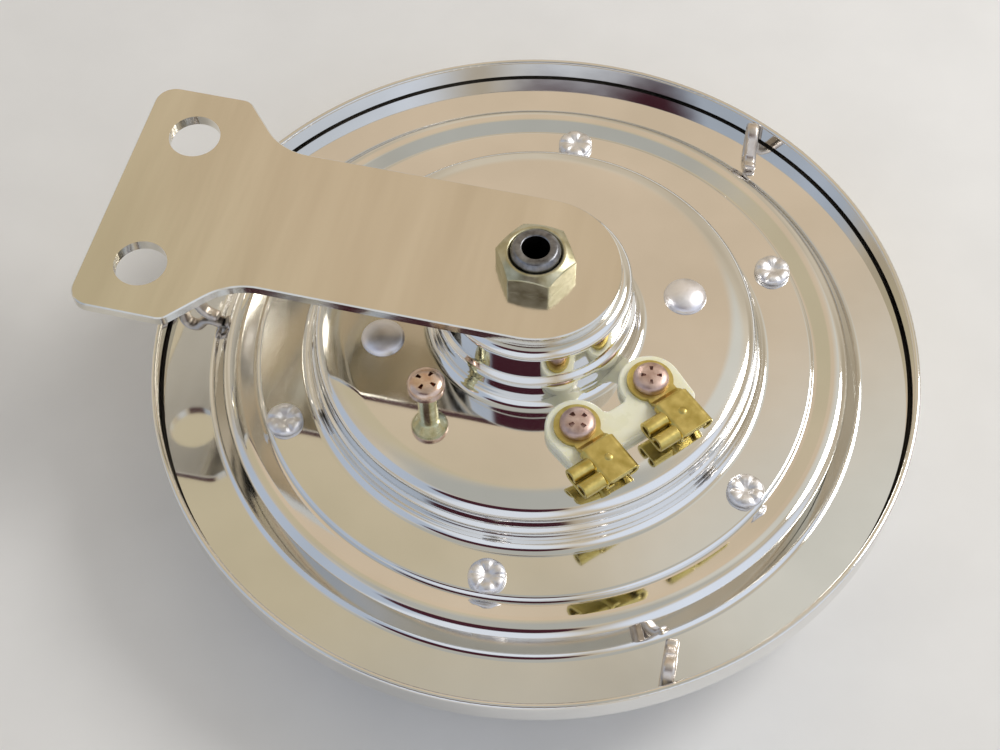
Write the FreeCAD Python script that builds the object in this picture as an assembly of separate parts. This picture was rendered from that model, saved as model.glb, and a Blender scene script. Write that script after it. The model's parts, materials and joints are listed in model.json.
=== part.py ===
import FreeCAD
import Part
import math
import os

from FreeCAD import Vector

os.makedirs("parts", exist_ok=True)

# All sizes are millimetres.  The horn is drawn about its own axis, front rest plane at z 0 and
# rear side up, and is moved at the end so that the bracket's hole pattern is the origin.

# sheet thicknesses
BEZEL_T = 1.3
GRILLE_T = 0.9
PLATE_T = 1.2
DRUM_T = 1.2
BRACKET_T = 2.4

# radii, built outward from the stud so that they add up to a rim radius of 80
STUD_R = 5.1
BOSS_R = 19.2
BOSS_STEP = 1.2
DRUM_TOP_W = 25.0
DRUM_STEP = 1.0
FLANGE_W = 11.8
BEAD_GAP = 3.2
BEAD_W = 3.4
STEP_W = 1.8
ANNULUS_W = 11.6
EDGE_GAP = 0.5
BEAD_BEND = 1.5
PLATE_EDGE = 0.25
BOSS_LOW_R = BOSS_R + BOSS_STEP
DRUM_R = BOSS_LOW_R + DRUM_TOP_W
DRUM_LOW_R = DRUM_R + DRUM_STEP
FLANGE_R = DRUM_LOW_R + FLANGE_W
BEAD_IN_R = FLANGE_R + BEAD_GAP
BEAD_OUT_R = BEAD_IN_R + BEAD_W
STEP_OUT_R = BEAD_OUT_R + STEP_W
PLATE_R = STEP_OUT_R + ANNULUS_W
RIM_R = PLATE_R + EDGE_GAP + BEZEL_T

# heights, built up from the front rest plane
LEDGE_Z = 19.7
SEAT_RISE = 3.9
BEAD_RISE = 0.6
RIM_PROUD = 5.1
DRUM_LOW_H = 5.4
DRUM_H = 5.0
BOSS_LOW_H = 7.2
BOSS_H = 8.0
DRUM_CROWN = 1.9
DRUM_ROLL_W = 5.2
DRUM_ROLL_H = 1.1
DRUM_ROLL_BEND = 11.0
ANNULUS_Z = LEDGE_Z + PLATE_T
SEAT_Z = ANNULUS_Z + SEAT_RISE
FLANGE_Z = SEAT_Z + DRUM_T
RIM_Z = ANNULUS_Z + RIM_PROUD
DRUM_LOW_TOP = FLANGE_Z + DRUM_LOW_H
DRUM_TOP_Z = DRUM_LOW_TOP + DRUM_H
BOSS_LOW_TOP = DRUM_TOP_Z + BOSS_LOW_H
BOSS_TOP_Z = BOSS_LOW_TOP + BOSS_H
BRACKET_TOP_Z = BOSS_TOP_Z + BRACKET_T

# front of the bezel and the grille that lies in it
BOWL_INSET = 4.2
BOWL_Z = 8.0
BOWL_BEND = 9.0
RIM_HEEL = 2.5
LIP_ROUND = 0.55
CREST_INSET = 4.0
CREST_BEND = 5.0
GRILLE_INSET = 3.1
GRILLE_LAP = 5.4
GRILLE_SEAT_R = 22.0
GRILLE_SEAT_RISE = 1.6
SLOT_W = 3.2
SLOT_PITCH = 8.0
SLOT_MARGIN = 4.5
SLOT_SHORTEST = 8.0
BOWL_R = PLATE_R - BOWL_INSET
CREST_OUTER_R = BOWL_R - CREST_INSET
GRILLE_R = CREST_OUTER_R - GRILLE_INSET
CREST_INNER_R = GRILLE_R - GRILLE_LAP
SLOT_FIELD_R = CREST_INNER_R - SLOT_MARGIN
SLOT_INNER_R = GRILLE_SEAT_R + 4.0
SLOT_ROWS = int((SLOT_FIELD_R - SLOT_SHORTEST) / SLOT_PITCH)

# rivets
RIVET_INSET = 4.0
RIVET_CIRCLE_R = FLANGE_R - RIVET_INSET
RIVET_COUNT = 6
RIVET_ANGLE = 33.0
RIVET_SHANK_R = 2.3
RIVET_HEAD_R = 3.9
RIVET_HEAD_H = 1.3
RIVET_EYE_R = 1.3
RIVET_EYE_DEPTH = 2.2
DOME_OUT = 10.8
DOME_CIRCLE_R = BOSS_LOW_R + DOME_OUT
DOME_ANGLE = 22.3
DOME_R = 4.4
DOME_H = 1.9
DOME_SHANK_R = 2.0

# diaphragm pack
GASKET_T = 0.4
DIAPHRAGM_T = 0.3
CLAMP_T = 1.5
CLAMP_EDGE_CLEAR = 1.0
CLAMP_HALF_W = 5.2
GASKET_HALF_W = 5.7
PLATE_LAP = 6.7
RIPPLE_W = 6.0
RIPPLE_INSET = 13.0
RIPPLE_H = 0.8
CLAMP_R = BEAD_IN_R - CLAMP_EDGE_CLEAR
CLAMP_OPEN_R = RIVET_CIRCLE_R - CLAMP_HALF_W
GASKET_OPEN_R = RIVET_CIRCLE_R - GASKET_HALF_W
PLATE_OPEN_R = RIVET_CIRCLE_R - PLATE_LAP
RIPPLE_OUT_R = CLAMP_OPEN_R - RIPPLE_INSET
RIPPLE_IN_R = RIPPLE_OUT_R - RIPPLE_W
GASKET_REAR_Z = SEAT_Z - PLATE_T - GASKET_T
DIAPHRAGM_Z = GASKET_REAR_Z - DIAPHRAGM_T
DIAPHRAGM_TOP_Z = DIAPHRAGM_Z + DIAPHRAGM_T
GASKET_FRONT_Z = DIAPHRAGM_Z - GASKET_T
CLAMP_Z = GASKET_FRONT_Z - CLAMP_T

# clips, whose bends lie at these shares of the annulus width
CLIP_ANGLES = (63.0, 183.0, 303.0)
CLIP_W = 4.2
CLIP_T = 1.0
CLIP_SIDE_CLEAR = 0.05
CLIP_NOTCH_CLEAR = 0.25
CLIP_FOOT_CLEAR = 0.35
CLIP_SHARES = (0.731, 0.415, 0.274, 0.151)

# bracket, drawn flat
BRACKET_HALF_W = 17.0
HEAD_RIGHT = 67.4
HEAD_W = 19.6
HOLE_INSET = 8.3
HOLE_HALF_PITCH = 16.5
HOLE_END = 11.7
HOLE_R = 5.3
NECK_RUN = 10.2
NECK_R = 13.0
HEAD_CORNER_R = 4.2
HEAD_INNER_R = 3.0
BRACKET_BEVEL = 0.25
HEAD_LEFT = HEAD_RIGHT + HEAD_W
HOLE_X = HEAD_RIGHT + HOLE_INSET
HEAD_HALF_L = HOLE_HALF_PITCH + HOLE_END
NECK_X = HEAD_RIGHT - NECK_RUN

# stud and its nut
STUD_PROUD = 1.5
STUD_CHAMFER = 1.5
STUD_EYE_R = 2.8
STUD_EYE_DEPTH = 9.0
STUD_SUNK = 10.6
STUD_CLEAR = 0.15
NUT_AF = 14.0
NUT_H = 5.0
STUD_TOP_Z = BRACKET_TOP_Z + NUT_H + STUD_PROUD
STUD_FOOT_Z = BOSS_TOP_Z - STUD_SUNK

# armature, sleeve and tone disc
ARM_STEM_R = 4.0
ARM_COLLAR_R = 10.4
ARM_COLLAR_H = 2.8
ARM_FLANGE_INSET = 5.7
ARM_FLANGE_H = 2.0
ARM_END_PROUD = 0.9
SLEEVE_R = 6.5
SLEEVE_H = 6.9
TONE_T = 0.9
TONE_HUB_R = 14.0
TONE_DISH = 2.6
TONE_R = 52.0
STEM_CLEAR = 0.05
TONE_NUT_AF = 13.0
TONE_NUT_H = 4.6
PUSHER_INSET = 0.5
PUSHER_W = 2.0
ARM_FLANGE_R = BOSS_R - ARM_FLANGE_INSET
ARM_FLANGE_Z = DIAPHRAGM_TOP_Z + ARM_COLLAR_H
ARM_FACE_Z = ARM_FLANGE_Z + ARM_FLANGE_H
TONE_HUB_Z = DIAPHRAGM_Z - SLEEVE_H
TONE_NUT_Z = TONE_HUB_Z - TONE_T - TONE_NUT_H
ARM_END_Z = TONE_NUT_Z - ARM_END_PROUD
PUSHER_OUT_R = ARM_FLANGE_R - PUSHER_INSET
PUSHER_IN_R = PUSHER_OUT_R - PUSHER_W

# carrier plate and contact stack that hangs from it
CARRIER_T = 1.5
CARRIER_CLEAR = 0.4
CARRIER_INSET = 1.9
CARRIER_Z = DRUM_TOP_Z - DRUM_T - CARRIER_T
CARRIER_IN_R = BOSS_LOW_R + DRUM_T + CARRIER_CLEAR
CARRIER_OUT_R = DRUM_R - DRUM_ROLL_W - CARRIER_INSET
STACK_INSET = 2.7
SCREW_TO_STACK = 5.6
SCREW_ANGLE = -122.0
STACK_R = CARRIER_OUT_R - STACK_INSET
SCREW_CIRCLE_R = STACK_R - SCREW_TO_STACK
STACK_W = 8.6
STACK_L = 5.0
STACK_TOP_H = 3.0
STACK_GAP_H = 1.3
ARM_W = 7.0
MOVING_T = 0.4
FIXED_T = 0.8
POINT_R = 1.6
POINT_OUT = 5.9
TIP_OVER_PUSHER = 0.6
TIP_PAST_POINT = 3.0
WASHER_T = 0.8
NECK_TUBE_R = 2.2
STACK_RIVET_R = 1.5
STACK_HEAD_R = 2.8
STACK_CLEAR = 0.1
SCREW_EYE_R = 2.8
MOVING_LOW_Z = CARRIER_Z - STACK_TOP_H - MOVING_T
FIXED_LOW_Z = MOVING_LOW_Z - STACK_GAP_H - FIXED_T
MOVING_TIP_R = PUSHER_IN_R + TIP_OVER_PUSHER
POINT_X = ARM_FLANGE_R + POINT_OUT
FIXED_TIP_R = POINT_X - TIP_PAST_POINT

# pole core and coil
CORE_INSET = 10.2
AIR_GAP = 0.8
BOBBIN_SIDE_CLEAR = 0.6
BOBBIN_WALL = 1.2
BOBBIN_FLANGE_T = 1.2
BOBBIN_OVER_ARM = 1.3
BOBBIN_CLEAR = 0.1
WINDING_INSET = 0.7
WINDING_GAP = 0.05
WINDING_END_GAP = 0.2
WINDING_ROWS = 14
CORE_R = BOSS_R - CORE_INSET
CORE_FACE_Z = ARM_FACE_Z + AIR_GAP
BOBBIN_LOW_Z = MOVING_LOW_Z + MOVING_T + BOBBIN_OVER_ARM
BOBBIN_FLANGE_R = BOSS_R - DRUM_T - BOBBIN_SIDE_CLEAR
WINDING_R = BOBBIN_FLANGE_R - WINDING_INSET

# adjusting screw
ADJ_SHANK_R = 2.0
ADJ_HEAD_R = 3.75
ADJ_HEAD_H = 2.6
ADJ_HEAD_UP = 7.2
ADJ_CLEAR = 0.06
ADJ_GROOVE = 0.22
ADJ_PITCH = 0.7
ADJ_CROSS_ANGLE = 20.0
ADJ_HEAD_LOW_Z = DRUM_TOP_Z + ADJ_HEAD_UP
CROSS_HALF_L = 2.1
CROSS_W = 1.1
CROSS_DEPTH = 1.5

# terminals, in a local frame whose first axis points outward at the pair's angle
PAIR_ANGLE = -42.0
PAIR_HALF_V = 8.9
PLATE_INS_T = 2.0
EAR_R = 6.3
TAIL_RUN = 8.3
NOTCH_HALF_W = 2.6
NOTCH_RUN = 0.7
TAB_T = 0.8
TAB_RING_R = 4.6
TAB_W = 6.3
TAB_RISE = 1.5
TAB_STEP_RUN = 1.3
BLADE_L = 8.8
TERM_HEAD_R = 3.55
TERM_HEAD_H = 2.1
TERM_SHANK_R = 1.95
TERM_END_PROUD = 1.0
TERM_NUT_AF = 7.0
TERM_NUT_H = 2.8
TERM_CROSS_ANGLES = (12.0, 50.0)
BUSH_R = 3.5
BUSH_BORE_R = 2.1
BUSH_FLANGE_R = 5.4
BUSH_FLANGE_T = 1.5
PAIR_U = BOSS_LOW_R + EAR_R
TAIL_U = PAIR_U + TAIL_RUN
NOTCH_U = PAIR_U + NOTCH_RUN
TAB_STEP_U = PAIR_U + TAB_RING_R
TAB_FLAT_U = TAB_STEP_U + TAB_STEP_RUN
TAB_END_U = TAB_FLAT_U + BLADE_L
INS_TOP_Z = DRUM_TOP_Z + PLATE_INS_T
BLADE_LOW_Z = INS_TOP_Z + TAB_RISE
BLADE_TOP_Z = BLADE_LOW_Z + TAB_T
TERM_NUT_Z = CARRIER_Z - BUSH_FLANGE_T - TERM_NUT_H
TERM_END_Z = TERM_NUT_Z - TERM_END_PROUD

# push on connectors
CON_START = 0.5
CON_OVER = 1.4
CON_W = 7.8
CON_T = 0.4
CON_GAP = 0.05
CON_LIP_W = 2.2
BARREL_V = 4.6
BARREL_INSET = 1.9
BARREL_SHORT = 0.6
BARREL_H = 2.7
DIMPLE_R = 0.75
CON_U0 = TAB_FLAT_U + CON_START
CON_U1 = TAB_END_U + CON_OVER
BARREL_U0 = CON_U0 + BARREL_INSET
BARREL_U1 = CON_U1 - BARREL_SHORT

# leads
LEAD_R = 0.55
LEAD_BEND_SHARE = 0.45

Z_AXIS = Vector(0, 0, 1)
ORIGIN = Vector(0, 0, 0)
HOME = Vector(HOLE_X, 0, -BRACKET_TOP_Z)


def polar(radius, degrees, z=0.0):
    a = math.radians(degrees)
    return Vector(radius * math.cos(a), radius * math.sin(a), z)


def corner_wire(corners, place):
    """Closed wire through (a, b, radius) corners, each rounded by its radius."""
    n = len(corners)
    starts, ends, mids = [], [], []
    for i, (a, b, rad) in enumerate(corners):
        p = Vector(a, b, 0)
        before = Vector(*corners[i - 1][:2], 0) - p
        after = Vector(*corners[(i + 1) % n][:2], 0) - p
        before.normalize()
        after.normalize()
        half = before.getAngle(after) / 2
        if rad <= 0 or half > math.pi / 2 - 1e-4:
            starts.append(p)
            ends.append(p)
            mids.append(None)
            continue
        run = rad / math.tan(half)
        starts.append(p + before * run)
        ends.append(p + after * run)
        bis = before + after
        bis.normalize()
        mids.append(p + bis * (rad / math.sin(half) - rad))
    edges = []
    for i in range(n):
        if mids[i] is not None:
            edges.append(Part.Arc(place(starts[i]), place(mids[i]), place(ends[i])).toShape())
        p, q = place(ends[i]), place(starts[(i + 1) % n])
        if (q - p).Length > 1e-5:
            edges.append(Part.makeLine(p, q))
    return Part.Wire(edges)


def in_section(p):
    return Vector(p.x, 0, p.y)


def turned(corners):
    """Solid of revolution from (radius, z, corner radius) corners."""
    return Part.Face(corner_wire(corners, in_section)).revolve(ORIGIN, Z_AXIS, 360)


def plate_of(corners, z0, height):
    """Flat plate from (x, y, corner radius) corners."""
    wire = corner_wire(corners, lambda p: Vector(p.x, p.y, z0))
    return Part.Face(wire).extrude(Vector(0, 0, height))


def band_corners(path, thick):
    """Corners of a strip of even thickness about a centre path of (a, b, bend radius)."""
    left, right = [], []
    for i, (a, b, rad) in enumerate(path):
        p = Vector(a, b, 0)
        d0 = p - Vector(*path[i - 1][:2], 0) if i > 0 else None
        d1 = Vector(*path[i + 1][:2], 0) - p if i < len(path) - 1 else None
        d0 = d0 or d1
        d1 = d1 or d0
        d0, d1 = Vector(d0).normalize(), Vector(d1).normalize()
        n0, n1 = Vector(-d0.y, d0.x, 0), Vector(-d1.y, d1.x, 0)
        mitre = (n0 + n1) * (1 / (1 + n0.dot(n1)))
        turn = d0.cross(d1).z
        side = 0 if rad <= 0 else math.copysign(thick / 2, turn)
        off = mitre * (thick / 2)
        left.append((a + off.x, b + off.y, max(rad - side, 0)))
        right.append((a - off.x, b - off.y, max(rad + side, 0)))
    return left + right[::-1]


def turned_sheet(path, thick):
    return turned(band_corners(path, thick))


def cylinder(radius, z0, z1, at=ORIGIN):
    return Part.makeCylinder(radius, z1 - z0, Vector(at.x, at.y, z0))


def ring(outer, inner, z0, z1, at=ORIGIN):
    return cylinder(outer, z0, z1, at).cut(cylinder(inner, z0 - 1, z1 + 1, at))


def hexagon(across, z0, height, at=ORIGIN, turn=0.0):
    """Hexagonal nut blank with both faces chamfered."""
    r = across / math.sqrt(3)
    pts = [polar(r, turn + 60 * k, z0) for k in range(7)]
    blank = Part.Face(Part.makePolygon(pts)).extrude(Vector(0, 0, height))
    drop = (r - across / 2) * 0.55 + 0.1
    keep = turned([(0, z0, 0), (across / 2 * 0.96, z0, 0), (r + 0.02, z0 + drop, 0),
                   (r + 0.02, z0 + height - drop, 0), (across / 2 * 0.96, z0 + height, 0),
                   (0, z0 + height, 0)])
    nut = blank.common(keep)
    nut.translate(Vector(at.x, at.y, 0))
    return nut


def spin(shape, degrees):
    out = shape.copy()
    out.rotate(ORIGIN, Z_AXIS, degrees)
    return out


def repeat(shape, count, first=0.0):
    return [spin(shape, first + 360.0 / count * k) for k in range(count)]


def gather(solids):
    return Part.makeCompound([s for item in solids for s in item.Solids])


def save(name, shape):
    out = shape.copy()
    out.translate(HOME)
    if len(out.Solids) == 1:
        out = out.Solids[0]
    out.exportStep("parts/%s.step" % name)


def front_bezel():
    """Rolled rim, plate ledge, bowl and front crest from one strip."""
    h = BEZEL_T / 2
    path = [(CREST_INNER_R, h, 0), (CREST_OUTER_R, h, CREST_BEND), (BOWL_R, BOWL_Z, BOWL_BEND),
            (BOWL_R + 1.0, LEDGE_Z - h, 1.0), (RIM_R - h, LEDGE_Z - h, 0.9), (RIM_R - h, RIM_Z, 0)]
    soft = []
    for a, b, r in band_corners(path, BEZEL_T):
        if abs(b - RIM_Z) < 1e-6 or abs(a - CREST_INNER_R) < 1e-6:
            r = LIP_ROUND
        elif b < LEDGE_Z - h and a > RIM_R - 1e-6:
            r = RIM_HEEL
        soft.append((a, b, r))
    return turned(soft)


def front_grille():
    """Slotted face with a plain raised seat in the middle."""
    z = BEZEL_T + GRILLE_T / 2
    face = turned_sheet([(0, z + GRILLE_SEAT_RISE, 0), (GRILLE_SEAT_R - 3, z + GRILLE_SEAT_RISE, 1.5),
                         (GRILLE_SEAT_R, z, 1.5), (GRILLE_R, z, 0)], GRILLE_T)
    cuts = []
    for k in range(-SLOT_ROWS, SLOT_ROWS + 1):
        y = k * SLOT_PITCH
        outer = math.sqrt(SLOT_FIELD_R ** 2 - y ** 2)
        inner = math.sqrt(SLOT_INNER_R ** 2 - y ** 2) if abs(y) < SLOT_INNER_R else 0
        spans = [(-outer, -inner), (inner, outer)] if inner else [(-outer, -2.2), (2.2, outer)]
        for x0, x1 in spans:
            w = SLOT_W / 2
            cuts.append(plate_of([(x0, y - w, w - 0.01), (x1, y - w, w - 0.01),
                                  (x1, y + w, w - 0.01), (x0, y + w, w - 0.01)], -1, 6))
    return face.cut(Part.makeCompound(cuts))


def rear_plate():
    """Flat annulus on the bezel's ledge, one soft step up to the bead, and the drum's seat."""
    h = PLATE_T / 2
    path = [(PLATE_OPEN_R, SEAT_Z - h, 0), (BEAD_IN_R, SEAT_Z - h, 0.9),
            (BEAD_IN_R + 0.9, SEAT_Z + BEAD_RISE - h, 0.9),
            (BEAD_OUT_R, SEAT_Z + BEAD_RISE - h, BEAD_BEND), (STEP_OUT_R, ANNULUS_Z - h, BEAD_BEND),
            (PLATE_R, ANNULUS_Z - h, 0)]
    corners = band_corners(path, PLATE_T)
    plate = turned([(a, b, PLATE_EDGE if abs(a - PLATE_R) < 1e-6 else r) for a, b, r in corners])
    holes = repeat(cylinder(RIVET_SHANK_R, SEAT_Z - 4, SEAT_Z + 4, Vector(RIVET_CIRCLE_R, 0, 0)),
                   RIVET_COUNT, RIVET_ANGLE)
    slot = Part.makeBox(CLIP_T + EDGE_GAP + 1, CLIP_W + 2 * CLIP_NOTCH_CLEAR, PLATE_T + 2,
                        Vector(RIM_R - BEZEL_T - CLIP_T - CLIP_NOTCH_CLEAR, -CLIP_W / 2 - CLIP_NOTCH_CLEAR,
                               LEDGE_Z - 1))
    return plate.cut(Part.makeCompound(holes + [spin(slot, a) for a in CLIP_ANGLES]))


def drum_housing():
    """Flange, stepped drum wall, top and stepped boss drawn from one sheet."""
    h = DRUM_T / 2
    path = [(STUD_R + STUD_CLEAR, BOSS_TOP_Z - h, 0), (BOSS_R - h, BOSS_TOP_Z - h, 1.5),
            (BOSS_R - h + 0.15, BOSS_LOW_TOP - h, 0.8), (BOSS_LOW_R - h, BOSS_LOW_TOP - h - 0.3, 1.0),
            (BOSS_LOW_R - h + 0.2, DRUM_TOP_Z - h, 1.2),
            (DRUM_R - h - DRUM_ROLL_W, DRUM_TOP_Z - h, DRUM_ROLL_BEND),
            (DRUM_R - h, DRUM_TOP_Z - DRUM_ROLL_H - h, DRUM_CROWN),
            (DRUM_R - h + 0.1, DRUM_LOW_TOP - h, 0.8), (DRUM_LOW_R - h, DRUM_LOW_TOP - h - 0.3, 1.0),
            (DRUM_LOW_R - h + 0.2, FLANGE_Z - h, 1.4), (FLANGE_R, FLANGE_Z - h, 0)]
    drum = turned_sheet(path, DRUM_T)
    cuts = repeat(cylinder(RIVET_SHANK_R, FLANGE_Z - 3, FLANGE_Z + 1, Vector(RIVET_CIRCLE_R, 0, 0)),
                  RIVET_COUNT, RIVET_ANGLE)
    top = (DRUM_TOP_Z - 3, DRUM_TOP_Z + 1)
    cuts += repeat(cylinder(DOME_SHANK_R, *top, Vector(DOME_CIRCLE_R, 0, 0)), 2, DOME_ANGLE)
    cuts.append(cylinder(ADJ_SHANK_R + ADJ_CLEAR, *top, polar(SCREW_CIRCLE_R, SCREW_ANGLE)))
    cuts += [cylinder(BUSH_R, *top, at) for at in terminal_points()]
    return drum.cut(Part.makeCompound(cuts))


def terminal_points():
    return [spin_point(PAIR_U, side * PAIR_HALF_V) for side in (-1, 1)]


def spin_point(u, v, z=0.0):
    a = math.radians(PAIR_ANGLE)
    return Vector(u * math.cos(a) - v * math.sin(a), u * math.sin(a) + v * math.cos(a), z)


def flat_ring(outer, inner, z0, thick):
    body = ring(outer, inner, z0, z0 + thick)
    holes = repeat(cylinder(RIVET_SHANK_R, z0 - 1, z0 + thick + 1, Vector(RIVET_CIRCLE_R, 0, 0)),
                   RIVET_COUNT, RIVET_ANGLE)
    return body.cut(Part.makeCompound(holes))


def diaphragm():
    """Thin spring steel disc with one ripple, holed for the stem and the rivets."""
    z = DIAPHRAGM_Z + DIAPHRAGM_T / 2
    mid = (RIPPLE_IN_R + RIPPLE_OUT_R) / 2
    disc = turned_sheet([(ARM_STEM_R + STEM_CLEAR, z, 0), (RIPPLE_IN_R, z, 2.0),
                         (mid, z + RIPPLE_H, 2.0), (RIPPLE_OUT_R, z, 2.0), (CLAMP_R, z, 0)], DIAPHRAGM_T)
    holes = repeat(cylinder(RIVET_SHANK_R, z - 2, z + 2, Vector(RIVET_CIRCLE_R, 0, 0)),
                   RIVET_COUNT, RIVET_ANGLE)
    return disc.cut(Part.makeCompound(holes))


def flange_rivet():
    """Tubular rivet: rolled and split rosette behind, flat head in front."""
    top = FLANGE_Z + RIVET_HEAD_H
    body = turned([(0, CLAMP_Z - 1.0, 0), (RIVET_HEAD_R, CLAMP_Z - 1.0, 0.4), (RIVET_HEAD_R, CLAMP_Z, 0),
                   (RIVET_SHANK_R, CLAMP_Z, 0), (RIVET_SHANK_R, FLANGE_Z, 0), (RIVET_HEAD_R, FLANGE_Z, 0.3),
                   (RIVET_HEAD_R - 0.4, top - 0.2, 0.5), (RIVET_EYE_R + 0.9, top, 0.4),
                   (RIVET_EYE_R, top - 0.5, 0.2), (RIVET_EYE_R, top - RIVET_EYE_DEPTH, 0.2),
                   (0, top - RIVET_EYE_DEPTH, 0)])
    cuts = []
    splits = ((10, 0.5), (74, 0.34), (128, 0.55), (197, 0.4), (251, 0.5), (312, 0.36))
    for turn, width in splits:
        foot = Vector(RIVET_EYE_R + 0.25, -width / 2, FLANGE_Z + 0.45)
        cuts.append(spin(Part.makeBox(RIVET_HEAD_R, width, RIVET_HEAD_H, foot), turn))
    body = body.cut(Part.makeCompound(cuts))
    body.translate(Vector(RIVET_CIRCLE_R, 0, 0))
    return body


def dome_rivet():
    low = DRUM_TOP_Z - DRUM_T - CARRIER_T
    ball = (DOME_R ** 2 + DOME_H ** 2) / (2 * DOME_H)
    cap = Part.makeSphere(ball, Vector(0, 0, DRUM_TOP_Z + DOME_H - ball))
    cap = cap.common(cylinder(DOME_R + 1, DRUM_TOP_Z, DRUM_TOP_Z + DOME_H + 1))
    shank = turned([(0, low - 1.2, 0), (DOME_SHANK_R + 1.3, low - 1.2, 0.4), (DOME_SHANK_R + 1.3, low, 0),
                    (DOME_SHANK_R, low, 0), (DOME_SHANK_R, DRUM_TOP_Z + 0.5, 0), (0, DRUM_TOP_Z + 0.5, 0)])
    out = cap.fuse(shank)
    out.translate(Vector(DOME_CIRCLE_R, 0, 0))
    return out


def retaining_clip():
    """Bent tongue that stands in the plate's edge gap and presses on the annulus."""
    wall = RIM_R - BEZEL_T - CLIP_T / 2 - CLIP_SIDE_CLEAR
    lift = ANNULUS_Z + CLIP_T / 2
    turn, heel, toe, tip = [STEP_OUT_R + share * ANNULUS_W for share in CLIP_SHARES]
    path = [(wall, LEDGE_Z + CLIP_FOOT_CLEAR, 0), (wall, RIM_Z + 0.7, 1.1), (turn, RIM_Z + 0.9, 2.2),
            (heel, lift + 0.2, 2.6), (toe, lift + 0.02, 1.2), (tip, lift + 0.25, 0)]
    wire = corner_wire(band_corners(path, CLIP_T), in_section)
    strip = Part.Face(wire).extrude(Vector(0, CLIP_W, 0))
    strip.translate(Vector(0, -CLIP_W / 2, 0))
    return strip


def mounting_bracket():
    """Flat strip with a round end on the stud and a wide two hole head."""
    w, top = BRACKET_HALF_W, BRACKET_TOP_Z
    side = [(-NECK_X, w, NECK_R), (-HEAD_RIGHT, HEAD_HALF_L, HEAD_INNER_R),
            (-HEAD_LEFT, HEAD_HALF_L, HEAD_CORNER_R)]
    other = [(x, -y, r) for x, y, r in reversed(side)]
    head = plate_of([(0, w, 0)] + side + other + [(0, -w, 0)], BOSS_TOP_Z, BRACKET_T)
    body = head.fuse(cylinder(w, BOSS_TOP_Z, top)).removeSplitter()
    rims = [e for e in body.Edges if e.BoundBox.ZLength < 1e-6]
    body = body.makeChamfer(BRACKET_BEVEL, rims)
    cuts = [cylinder(STUD_R + STUD_CLEAR, BOSS_TOP_Z - 1, top + 1)]
    for side in (-1, 1):
        cuts.append(cylinder(HOLE_R, BOSS_TOP_Z - 1, top + 1, Vector(-HOLE_X, side * HOLE_HALF_PITCH, 0)))
    return body.cut(Part.makeCompound(cuts))


def mounting_stud():
    """Hollow ended stud with thread grooves on the part that stands out."""
    end, eye = STUD_TOP_Z, STUD_TOP_Z - STUD_EYE_DEPTH
    body = turned([(0, STUD_FOOT_Z, 0), (STUD_R, STUD_FOOT_Z, 0.4), (STUD_R, end, STUD_CHAMFER),
                   (STUD_EYE_R, end, 0.5), (STUD_EYE_R, eye, 0), (0, eye - 1.6, 0)])
    return body


def stud_nut():
    nut = hexagon(NUT_AF, BRACKET_TOP_Z, NUT_H)
    return nut.cut(cylinder(STUD_R + STUD_CLEAR / 3, BRACKET_TOP_Z - 1, BRACKET_TOP_Z + NUT_H + 1))


def pole_core():
    top = BOSS_TOP_Z - DRUM_T
    body = turned([(0, CORE_FACE_Z, 0), (CORE_R, CORE_FACE_Z, 0.4), (CORE_R, top, 0.3), (0, top, 0)])
    return body.cut(cylinder(STUD_R, STUD_FOOT_Z, top + 1))


def coil_bobbin():
    top, low, bore = BOSS_TOP_Z - DRUM_T, BOBBIN_LOW_Z, CORE_R + BOBBIN_CLEAR
    tube = bore + BOBBIN_WALL
    outer, wall = BOBBIN_FLANGE_R, BOBBIN_FLANGE_T
    return turned([(bore, low, 0.2), (outer, low, 0.3), (outer, low + wall, 0.3), (tube, low + wall, 0.2),
                   (tube, top - wall, 0.2), (outer, top - wall, 0.3), (outer, top, 0.3), (bore, top, 0.2)])


def coil_winding():
    """Wound turns drawn as rows of rounded ridges."""
    low = BOBBIN_LOW_Z + BOBBIN_FLANGE_T + WINDING_END_GAP
    top = BOSS_TOP_Z - DRUM_T - BOBBIN_FLANGE_T - WINDING_END_GAP
    inner = CORE_R + BOBBIN_CLEAR + BOBBIN_WALL + WINDING_GAP
    pitch = (top - low) / WINDING_ROWS
    corners = [(inner, top, 0), (inner, low, 0)]
    for k in range(WINDING_ROWS):
        z = low + k * pitch
        corners += [(WINDING_R - 0.3, z, 0), (WINDING_R, z + pitch / 2, 0.25)]
    corners.append((WINDING_R - 0.3, top, 0))
    return turned(corners)


def armature():
    return turned([(0, ARM_END_Z, 0), (ARM_STEM_R, ARM_END_Z, 0.6), (ARM_STEM_R, DIAPHRAGM_TOP_Z, 0),
                   (ARM_COLLAR_R, DIAPHRAGM_TOP_Z, 0.3), (ARM_COLLAR_R, ARM_FLANGE_Z, 0.3),
                   (ARM_FLANGE_R, ARM_FLANGE_Z, 0.3), (ARM_FLANGE_R, ARM_FACE_Z, 0.3), (0, ARM_FACE_Z, 0)])


def tone_disc():
    z = TONE_HUB_Z - TONE_T / 2
    return turned_sheet([(ARM_STEM_R + STEM_CLEAR, z, 0), (TONE_HUB_R, z, 2.5),
                         (TONE_HUB_R + 6, z - TONE_DISH, 2.5), (TONE_R - 2.0, z - TONE_DISH, 1.5),
                         (TONE_R, z - TONE_DISH + 1.6, 0)], TONE_T)


def spacer_sleeve():
    return ring(SLEEVE_R, ARM_STEM_R + STEM_CLEAR, TONE_HUB_Z, DIAPHRAGM_Z)


def armature_nut():
    low = TONE_NUT_Z
    bore = cylinder(ARM_STEM_R + STEM_CLEAR, low - 1, low + TONE_NUT_H + 1)
    return hexagon(TONE_NUT_AF, low, TONE_NUT_H).cut(bore)


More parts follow.
